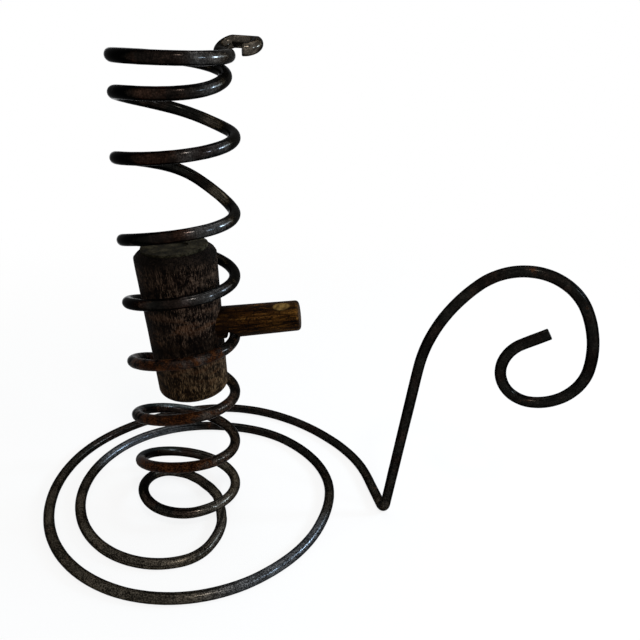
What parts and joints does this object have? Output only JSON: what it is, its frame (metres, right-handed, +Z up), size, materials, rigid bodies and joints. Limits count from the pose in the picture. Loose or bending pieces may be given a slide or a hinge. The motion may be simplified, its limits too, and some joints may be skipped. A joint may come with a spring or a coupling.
{
  "type": "courting candle holder",
  "caption": "Iron rod wound into a candle coil, a floor spiral and a scrolled handle, with a wooden plug that screws up the coil by its side peg.",
  "frame": {"origin": "on the table, on the candle coil's upright axis", "axes": "+Z up along the coil's axis, +X towards the handle, +Y to the back"},
  "size_m": [0.2005, 0.1205, 0.1745],
  "materials": {
    "iron": "forged, dark, with rust",
    "barrel_wood": "old, dark, dry",
    "peg_wood": "worn, warm brown",
    "seat_iron": "dull olive grey",
    "nail_iron": "dull"
  },
  "bodies": {
    "frame": {"iron_rod": "iron"},
    "lift": {"seat_nail": "nail_iron"},
    "plug": {"barrel": "barrel_wood", "peg": "peg_wood", "candle_seat": "seat_iron"}
  },
  "joints": [
    {"name": "plug_lift", "type": "slide", "parent": "frame", "child": "lift", "axis": [0, 0, 1], "range_m": [-0.044, 0.0452]},
    {"name": "plug_turn", "type": "hinge", "parent": "lift", "child": "plug", "pos_m": [0, 0, 0.08], "axis": [0, 0, 1], "range_deg": [-700, 720]}
  ],
  "couplings": [
    {"joint": "plug_lift", "follows": "plug_turn", "m_per_rad": 0.0035491}
  ]
}
